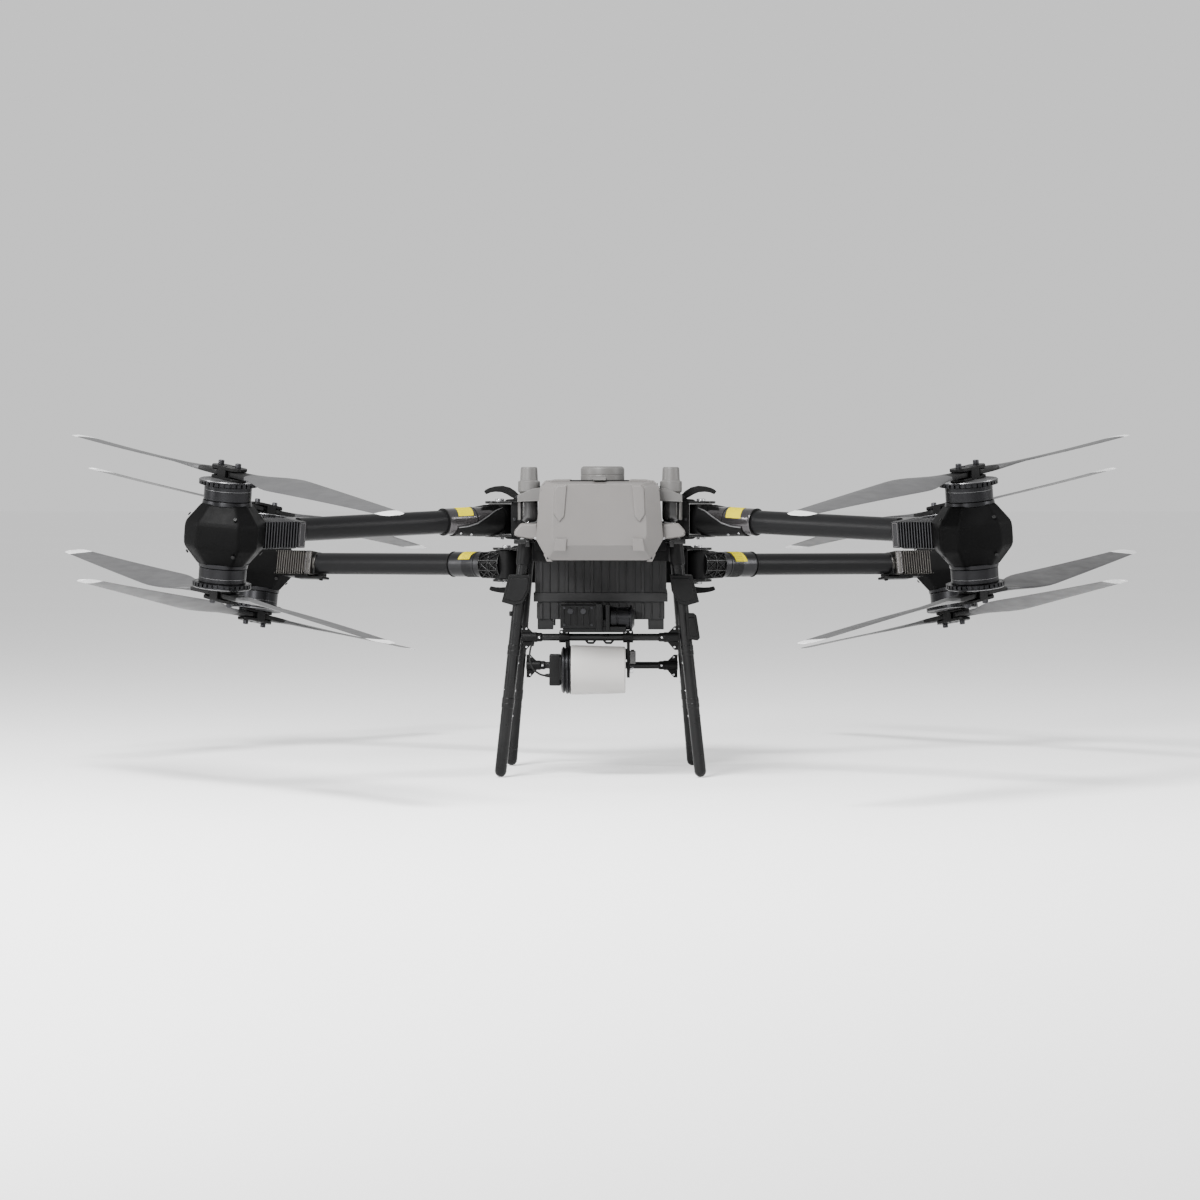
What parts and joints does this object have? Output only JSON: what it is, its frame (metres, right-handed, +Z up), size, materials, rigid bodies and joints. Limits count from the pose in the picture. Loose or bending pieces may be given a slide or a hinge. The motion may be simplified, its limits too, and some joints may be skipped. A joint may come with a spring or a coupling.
{
  "type": "agricultural drone",
  "caption": "Crop-spraying drone with folding arms, coaxial folding propellers, a tank under the frame, a radar drum and slim legs.",
  "frame": {"origin": "on the ground, under the middle of the whole aircraft with its arms and propellers open", "axes": "+Z up, -Y towards the nose, +X towards the aircraft's own left side"},
  "size_m": [2.5604, 2.6096, 0.8026],
  "materials": {
    "carbon_tube": "woven carbon under satin lacquer",
    "black_casting": "cast, with a black textured coating",
    "pod_housing": "rough black moulding",
    "motor_metal": "dark anodised bell with a pale rim",
    "blade_composite": "satin grey composite with a pale tip",
    "black_plastic": "moulded, fine texture",
    "black_rubber": "smooth cable jacket",
    "grey_cover": "satin light grey",
    "pale_grey": "satin",
    "radar_white": "satin white-grey"
  },
  "bodies": {
    "airframe": {"main_frame": "black_casting", "nose_cover": "grey_cover", "flight_controller": "black_plastic", "gps_antenna": "pale_grey", "antenna_left": "pale_grey", "antenna_right": "pale_grey", "spray_tank": "black_plastic", "pump_unit": "black_plastic", "radar_mount": "black_plastic", "radar_cable": "black_rubber", "leg_front_left": "black_plastic", "leg_front_right": "black_plastic", "leg_rear_left": "black_plastic", "leg_rear_right": "black_plastic", "crossbar_front": "black_plastic", "crossbar_rear": "black_plastic", "arm_root_front_left": "black_casting", "arm_root_front_right": "black_casting", "arm_root_rear_left": "black_casting", "arm_root_rear_right": "black_casting"},
    "arm_front_left": {"arm_front_left": "carbon_tube", "motor_pod_front_left": "pod_housing"},
    "latch_lever_front_left": {"latch_lever_front_left": "black_casting"},
    "rotor_front_left_upper": {"rotor_front_left_upper": "motor_metal"},
    "blade_front_left_upper_a": {"blade_front_left_upper_a": "blade_composite"},
    "blade_front_left_upper_b": {"blade_front_left_upper_b": "blade_composite"},
    "rotor_front_left_lower": {"rotor_front_left_lower": "motor_metal"},
    "blade_front_left_lower_a": {"blade_front_left_lower_a": "blade_composite"},
    "blade_front_left_lower_b": {"blade_front_left_lower_b": "blade_composite"},
    "arm_front_right": {"arm_front_right": "carbon_tube", "motor_pod_front_right": "pod_housing"},
    "latch_lever_front_right": {"latch_lever_front_right": "black_casting"},
    "rotor_front_right_upper": {"rotor_front_right_upper": "motor_metal"},
    "blade_front_right_upper_a": {"blade_front_right_upper_a": "blade_composite"},
    "blade_front_right_upper_b": {"blade_front_right_upper_b": "blade_composite"},
    "rotor_front_right_lower": {"rotor_front_right_lower": "motor_metal"},
    "blade_front_right_lower_a": {"blade_front_right_lower_a": "blade_composite"},
    "blade_front_right_lower_b": {"blade_front_right_lower_b": "blade_composite"},
    "arm_rear_left": {"arm_rear_left": "carbon_tube", "motor_pod_rear_left": "pod_housing"},
    "latch_lever_rear_left": {"latch_lever_rear_left": "black_casting"},
    "rotor_rear_left_upper": {"rotor_rear_left_upper": "motor_metal"},
    "blade_rear_left_upper_a": {"blade_rear_left_upper_a": "blade_composite"},
    "blade_rear_left_upper_b": {"blade_rear_left_upper_b": "blade_composite"},
    "rotor_rear_left_lower": {"rotor_rear_left_lower": "motor_metal"},
    "blade_rear_left_lower_a": {"blade_rear_left_lower_a": "blade_composite"},
    "blade_rear_left_lower_b": {"blade_rear_left_lower_b": "blade_composite"},
    "arm_rear_right": {"arm_rear_right": "carbon_tube", "motor_pod_rear_right": "pod_housing"},
    "latch_lever_rear_right": {"latch_lever_rear_right": "black_casting"},
    "rotor_rear_right_upper": {"rotor_rear_right_upper": "motor_metal"},
    "blade_rear_right_upper_a": {"blade_rear_right_upper_a": "blade_composite"},
    "blade_rear_right_upper_b": {"blade_rear_right_upper_b": "blade_composite"},
    "rotor_rear_right_lower": {"rotor_rear_right_lower": "motor_metal"},
    "blade_rear_right_lower_a": {"blade_rear_right_lower_a": "blade_composite"},
    "blade_rear_right_lower_b": {"blade_rear_right_lower_b": "blade_composite"},
    "radar_drum": {"radar_drum": "radar_white"},
    "tank_cap": {"tank_cap": "black_plastic"},
    "battery": {"battery": "black_plastic"},
    "nose_latch": {"nose_latch": "black_plastic"}
  },
  "joints": [
    {"name": "arm_fold_front_left", "type": "hinge", "parent": "airframe", "child": "arm_front_left", "pos_m": [0.235, -0.255, 0.608], "axis": [0, 0, -1], "range_deg": [-75, 0]},
    {"name": "latch_front_left", "type": "hinge", "parent": "airframe", "child": "latch_lever_front_left", "pos_m": [0.193, -0.255, 0.659], "axis": [0, -1, 0], "range_deg": [0, 75]},
    {"name": "spin_front_left_upper", "type": "hinge", "parent": "arm_front_left", "child": "rotor_front_left_upper", "pos_m": [0.82466, -0.72348, 0.68019], "axis": [-0.0774, -0.1008, 0.9919], "continuous": true},
    {"name": "blade_fold_front_left_upper_a", "type": "hinge", "parent": "rotor_front_left_upper", "child": "blade_front_left_upper_a", "pos_m": [0.84332, -0.69916, 0.71638], "axis": [-0.0774, -0.1008, 0.9919], "range_deg": [0, 80]},
    {"name": "blade_fold_front_left_upper_b", "type": "hinge", "parent": "rotor_front_left_upper", "child": "blade_front_left_upper_b", "pos_m": [0.80105, -0.75425, 0.70748], "axis": [0.0774, 0.1008, -0.9919], "range_deg": [0, 80]},
    {"name": "spin_front_left_lower", "type": "hinge", "parent": "arm_front_left", "child": "rotor_front_left_lower", "pos_m": [0.84013, -0.70332, 0.48181], "axis": [-0.0774, -0.1008, 0.9919], "continuous": true},
    {"name": "blade_fold_front_left_lower_a", "type": "hinge", "parent": "rotor_front_left_lower", "child": "blade_front_left_lower_a", "pos_m": [0.82147, -0.72763, 0.44562], "axis": [0.0774, 0.1008, -0.9919], "range_deg": [0, 80]},
    {"name": "blade_fold_front_left_lower_b", "type": "hinge", "parent": "rotor_front_left_lower", "child": "blade_front_left_lower_b", "pos_m": [0.86374, -0.67255, 0.45452], "axis": [-0.0774, -0.1008, 0.9919], "range_deg": [0, 80]},
    {"name": "arm_fold_front_right", "type": "hinge", "parent": "airframe", "child": "arm_front_right", "pos_m": [-0.235, -0.255, 0.608], "axis": [0, 0, 1], "range_deg": [-75, 0]},
    {"name": "latch_front_right", "type": "hinge", "parent": "airframe", "child": "latch_lever_front_right", "pos_m": [-0.193, -0.255, 0.659], "axis": [0, 1, 0], "range_deg": [0, 75]},
    {"name": "spin_front_right_upper", "type": "hinge", "parent": "arm_front_right", "child": "rotor_front_right_upper", "pos_m": [-0.82466, -0.72348, 0.68019], "axis": [-0.0774, 0.1008, -0.9919], "continuous": true},
    {"name": "blade_fold_front_right_upper_a", "type": "hinge", "parent": "rotor_front_right_upper", "child": "blade_front_right_upper_a", "pos_m": [-0.80105, -0.75425, 0.70748], "axis": [0.0774, -0.1008, 0.9919], "range_deg": [0, 80]},
    {"name": "blade_fold_front_right_upper_b", "type": "hinge", "parent": "rotor_front_right_upper", "child": "blade_front_right_upper_b", "pos_m": [-0.84332, -0.69916, 0.71638], "axis": [-0.0774, 0.1008, -0.9919], "range_deg": [0, 80]},
    {"name": "spin_front_right_lower", "type": "hinge", "parent": "arm_front_right", "child": "rotor_front_right_lower", "pos_m": [-0.84013, -0.70332, 0.48181], "axis": [-0.0774, 0.1008, -0.9919], "continuous": true},
    {"name": "blade_fold_front_right_lower_a", "type": "hinge", "parent": "rotor_front_right_lower", "child": "blade_front_right_lower_a", "pos_m": [-0.86374, -0.67255, 0.45452], "axis": [-0.0774, 0.1008, -0.9919], "range_deg": [0, 80]},
    {"name": "blade_fold_front_right_lower_b", "type": "hinge", "parent": "rotor_front_right_lower", "child": "blade_front_right_lower_b", "pos_m": [-0.82147, -0.72763, 0.44562], "axis": [0.0774, -0.1008, 0.9919], "range_deg": [0, 80]},
    {"name": "arm_fold_rear_left", "type": "hinge", "parent": "airframe", "child": "arm_rear_left", "pos_m": [0.235, 0.273, 0.49], "axis": [0, 0, -1], "range_deg": [0, 75]},
    {"name": "latch_rear_left", "type": "hinge", "parent": "airframe", "child": "latch_lever_rear_left", "pos_m": [0.193, 0.273, 0.439], "axis": [0, 1, 0], "range_deg": [0, 75]},
    {"name": "spin_rear_left_upper", "type": "hinge", "parent": "arm_rear_left", "child": "rotor_rear_left_upper", "pos_m": [0.86972, 0.72491, 0.58227], "axis": [-0.0882, 0.1292, 0.9877], "continuous": true},
    {"name": "blade_fold_rear_left_upper_a", "type": "hinge", "parent": "rotor_rear_left_upper", "child": "blade_rear_left_upper_a", "pos_m": [0.84741, 0.7576, 0.6084], "axis": [-0.0882, 0.1292, 0.9877], "range_deg": [0, 80]},
    {"name": "blade_fold_rear_left_upper_b", "type": "hinge", "parent": "rotor_rear_left_upper", "child": "blade_rear_left_upper_b", "pos_m": [0.88637, 0.70049, 0.61935], "axis": [0.0882, -0.1292, -0.9877], "range_deg": [0, 80]},
    {"name": "spin_rear_left_lower", "type": "hinge", "parent": "arm_rear_left", "child": "rotor_rear_left_lower", "pos_m": [0.88735, 0.69906, 0.38473], "axis": [-0.0882, 0.1292, 0.9877], "continuous": true},
    {"name": "blade_fold_rear_left_lower_a", "type": "hinge", "parent": "rotor_rear_left_lower", "child": "blade_rear_left_lower_a", "pos_m": [0.90965, 0.66637, 0.3586], "axis": [0.0882, -0.1292, -0.9877], "range_deg": [0, 80]},
    {"name": "blade_fold_rear_left_lower_b", "type": "hinge", "parent": "rotor_rear_left_lower", "child": "blade_rear_left_lower_b", "pos_m": [0.87069, 0.72349, 0.34765], "axis": [-0.0882, 0.1292, 0.9877], "range_deg": [0, 80]},
    {"name": "arm_fold_rear_right", "type": "hinge", "parent": "airframe", "child": "arm_rear_right", "pos_m": [-0.235, 0.273, 0.49], "axis": [0, 0, 1], "range_deg": [0, 75]},
    {"name": "latch_rear_right", "type": "hinge", "parent": "airframe", "child": "latch_lever_rear_right", "pos_m": [-0.193, 0.273, 0.439], "axis": [0, -1, 0], "range_deg": [0, 75]},
    {"name": "spin_rear_right_upper", "type": "hinge", "parent": "arm_rear_right", "child": "rotor_rear_right_upper", "pos_m": [-0.86972, 0.72491, 0.58227], "axis": [-0.0882, -0.1292, -0.9877], "continuous": true},
    {"name": "blade_fold_rear_right_upper_a", "type": "hinge", "parent": "rotor_rear_right_upper", "child": "blade_rear_right_upper_a", "pos_m": [-0.88637, 0.70049, 0.61935], "axis": [0.0882, 0.1292, 0.9877], "range_deg": [0, 80]},
    {"name": "blade_fold_rear_right_upper_b", "type": "hinge", "parent": "rotor_rear_right_upper", "child": "blade_rear_right_upper_b", "pos_m": [-0.84741, 0.7576, 0.6084], "axis": [-0.0882, -0.1292, -0.9877], "range_deg": [0, 80]},
    {"name": "spin_rear_right_lower", "type": "hinge", "parent": "arm_rear_right", "child": "rotor_rear_right_lower", "pos_m": [-0.88735, 0.69906, 0.38473], "axis": [-0.0882, -0.1292, -0.9877], "continuous": true},
    {"name": "blade_fold_rear_right_lower_a", "type": "hinge", "parent": "rotor_rear_right_lower", "child": "blade_rear_right_lower_a", "pos_m": [-0.87069, 0.72349, 0.34765], "axis": [-0.0882, -0.1292, -0.9877], "range_deg": [0, 80]},
    {"name": "blade_fold_rear_right_lower_b", "type": "hinge", "parent": "rotor_rear_right_lower", "child": "blade_rear_right_lower_b", "pos_m": [-0.90965, 0.66637, 0.3586], "axis": [0.0882, 0.1292, 0.9877], "range_deg": [0, 80]},
    {"name": "radar_scan", "type": "hinge", "parent": "airframe", "child": "radar_drum", "pos_m": [-0.005, -0.2, 0.253], "axis": [1, 0, 0], "continuous": true},
    {"name": "cap_turn", "type": "hinge", "parent": "airframe", "child": "tank_cap", "pos_m": [0, 0.015, 0.67], "axis": [0, 0, 1], "range_deg": [0, 90]},
    {"name": "battery_slide", "type": "slide", "parent": "airframe", "child": "battery", "axis": [0, 1, 0], "range_m": [0, 0.18]},
    {"name": "nose_latch_lift", "type": "hinge", "parent": "airframe", "child": "nose_latch", "pos_m": [0, -0.395, 0.702], "axis": [-1, 0, 0], "range_deg": [0, 80]}
  ],
  "couplings": [
    {"joint": "blade_fold_front_left_upper_a", "follows": "arm_fold_front_left", "ratio": -1.0667},
    {"joint": "blade_fold_front_left_upper_b", "follows": "arm_fold_front_left", "ratio": -1.0667},
    {"joint": "blade_fold_front_left_lower_a", "follows": "arm_fold_front_left", "ratio": -1.0667},
    {"joint": "blade_fold_front_left_lower_b", "follows": "arm_fold_front_left", "ratio": -1.0667},
    {"joint": "blade_fold_front_right_upper_a", "follows": "arm_fold_front_right", "ratio": -1.0667},
    {"joint": "blade_fold_front_right_upper_b", "follows": "arm_fold_front_right", "ratio": -1.0667},
    {"joint": "blade_fold_front_right_lower_a", "follows": "arm_fold_front_right", "ratio": -1.0667},
    {"joint": "blade_fold_front_right_lower_b", "follows": "arm_fold_front_right", "ratio": -1.0667},
    {"joint": "blade_fold_rear_left_upper_a", "follows": "arm_fold_rear_left", "ratio": 1.0667},
    {"joint": "blade_fold_rear_left_upper_b", "follows": "arm_fold_rear_left", "ratio": 1.0667},
    {"joint": "blade_fold_rear_left_lower_a", "follows": "arm_fold_rear_left", "ratio": 1.0667},
    {"joint": "blade_fold_rear_left_lower_b", "follows": "arm_fold_rear_left", "ratio": 1.0667},
    {"joint": "blade_fold_rear_right_upper_a", "follows": "arm_fold_rear_right", "ratio": 1.0667},
    {"joint": "blade_fold_rear_right_upper_b", "follows": "arm_fold_rear_right", "ratio": 1.0667},
    {"joint": "blade_fold_rear_right_lower_a", "follows": "arm_fold_rear_right", "ratio": 1.0667},
    {"joint": "blade_fold_rear_right_lower_b", "follows": "arm_fold_rear_right", "ratio": 1.0667}
  ]
}
